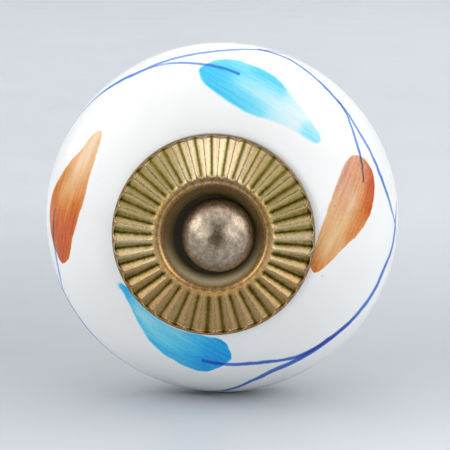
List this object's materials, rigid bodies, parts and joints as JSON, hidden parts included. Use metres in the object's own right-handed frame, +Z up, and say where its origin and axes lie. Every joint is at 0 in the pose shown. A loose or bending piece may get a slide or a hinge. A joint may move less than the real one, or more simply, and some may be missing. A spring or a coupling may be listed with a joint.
{
  "type": "cabinet knob",
  "caption": "Round glazed ceramic cabinet knob with a pressed brass rosette, a dome-headed screw and a turned brass base.",
  "frame": {"origin": "centre of the mounting face, where the screw leaves the base", "axes": "+Y along the screw's tail into the drawer front, -Y the way the knob faces, +Z up"},
  "size_m": [0.04, 0.0595, 0.04],
  "materials": {
    "glazed_body": "white gloss glaze over painted leaves in turquoise and orange-brown on a thin blue vine",
    "antique_brass": "antique brass, dark in the grooves and rubbed bright on the ridges",
    "aged_steel": "steel with a thin aged bronze plating, satin and lightly pitted",
    "plated_steel": "zinc-plated steel, faintly yellow"
  },
  "bodies": {
    "root": {"ceramic_ball": "glazed_body", "rosette": "antique_brass", "screw": "aged_steel", "base": "antique_brass", "washer": "plated_steel", "nut": "plated_steel"}
  },
  "joints": []
}
